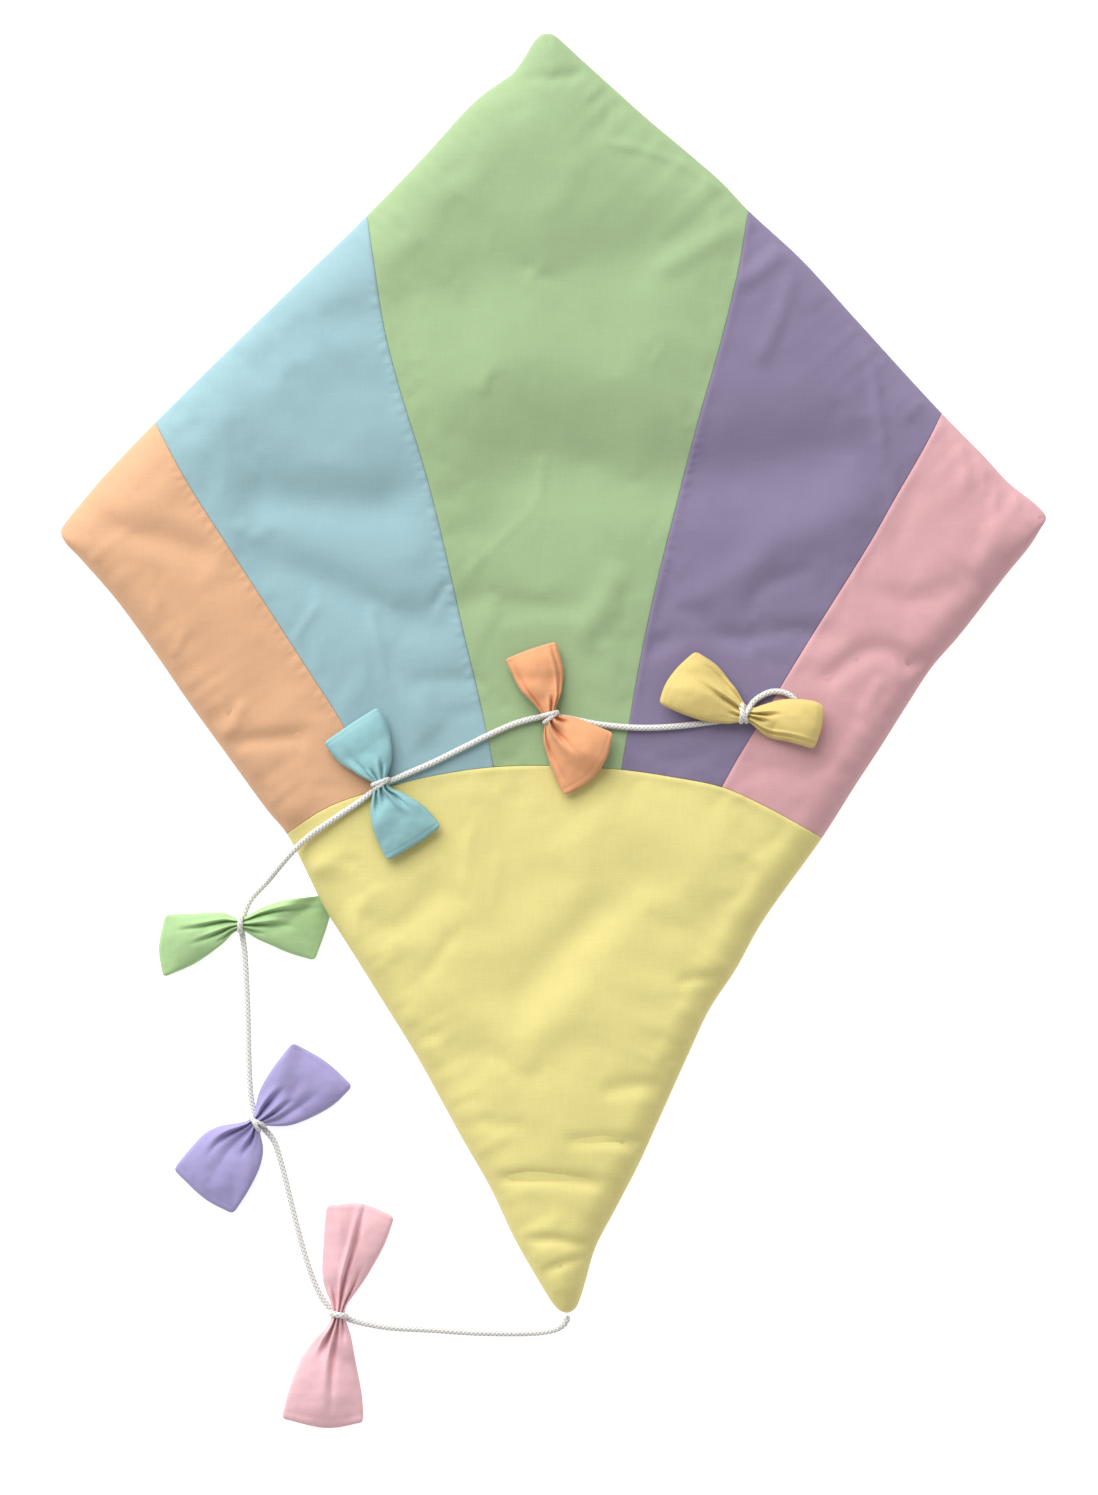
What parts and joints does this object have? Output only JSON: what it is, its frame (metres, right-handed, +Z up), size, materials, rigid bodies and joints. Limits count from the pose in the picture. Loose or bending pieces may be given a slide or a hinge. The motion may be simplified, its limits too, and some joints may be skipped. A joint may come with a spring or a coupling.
{
  "type": "padded fabric kite",
  "caption": "Diamond-shaped padded patchwork cotton kite, a soft toy or wall decoration, with a braided cord tail that carries gathered fabric bows.",
  "frame": {"origin": "on the floor, under the middle of the kite's outline, with the kite lying on its back", "axes": "+Z up out of the pieced front, +Y towards the top tip, +X to the right seen from the front"},
  "size_m": [0.6407, 0.9077, 0.0492],
  "materials": {
    "cloth_green": "fine plain-weave cotton, matt",
    "cloth_blue": "fine plain-weave cotton, matt",
    "cloth_orange": "fine plain-weave cotton, matt",
    "cloth_purple": "fine plain-weave cotton, matt",
    "cloth_pink": "fine plain-weave cotton, matt",
    "cloth_yellow": "slubby plain-weave cotton, matt",
    "cloth_back": "undyed plain-weave cotton, matt",
    "filling": "polyester wadding",
    "cord": "braided cotton cord, off-white",
    "bow_cloth_pink": "cotton, slight sheen",
    "bow_cloth_purple": "cotton, slight sheen",
    "bow_cloth_green": "cotton, slight sheen",
    "bow_cloth_blue": "cotton, slight sheen",
    "bow_cloth_orange": "cotton, slight sheen",
    "bow_cloth_yellow": "cotton, slight sheen"
  },
  "bodies": {
    "kite": {"front_panel_green": "cloth_green", "front_panel_blue": "cloth_blue", "front_panel_orange": "cloth_orange", "front_panel_purple": "cloth_purple", "front_panel_pink": "cloth_pink", "front_panel_yellow": "cloth_yellow", "back_panel": "cloth_back", "padding": "filling", "tail_cord": "cord"},
    "pink_bow": {"bow_pink": "bow_cloth_pink", "hitch_pink": "cord"},
    "purple_bow": {"bow_purple": "bow_cloth_purple", "hitch_purple": "cord"},
    "green_bow": {"bow_green": "bow_cloth_green", "hitch_green": "cord"},
    "blue_bow": {"bow_blue": "bow_cloth_blue", "hitch_blue": "cord"},
    "orange_bow": {"bow_orange": "bow_cloth_orange", "hitch_orange": "cord"},
    "yellow_bow": {"bow_yellow": "bow_cloth_yellow", "hitch_yellow": "cord"}
  },
  "joints": [
    {"name": "pink_bow_swing", "type": "hinge", "parent": "kite", "child": "pink_bow", "pos_m": [-0.1402, -0.4176, 0.0048], "axis": [0, 0, 1], "range_deg": [-15, 15]},
    {"name": "purple_bow_swing", "type": "hinge", "parent": "kite", "child": "purple_bow", "pos_m": [-0.1935, -0.2928, 0.0048], "axis": [0, 0, 1], "range_deg": [-15, 15]},
    {"name": "green_bow_swing", "type": "hinge", "parent": "kite", "child": "green_bow", "pos_m": [-0.2039, -0.1635, 0.0048], "axis": [0, 0, 1], "range_deg": [-10, 10]},
    {"name": "blue_bow_swing", "type": "hinge", "parent": "kite", "child": "blue_bow", "pos_m": [-0.1116, -0.0718, 0.0369], "axis": [0, 0, 1], "range_deg": [-15, 15]},
    {"name": "orange_bow_swing", "type": "hinge", "parent": "kite", "child": "orange_bow", "pos_m": [-0.0024, -0.0283, 0.0369], "axis": [0, 0, 1], "range_deg": [-15, 15]},
    {"name": "yellow_bow_swing", "type": "hinge", "parent": "kite", "child": "yellow_bow", "pos_m": [0.1224, -0.027, 0.0369], "axis": [0, 0, 1], "range_deg": [-15, 15]}
  ]
}
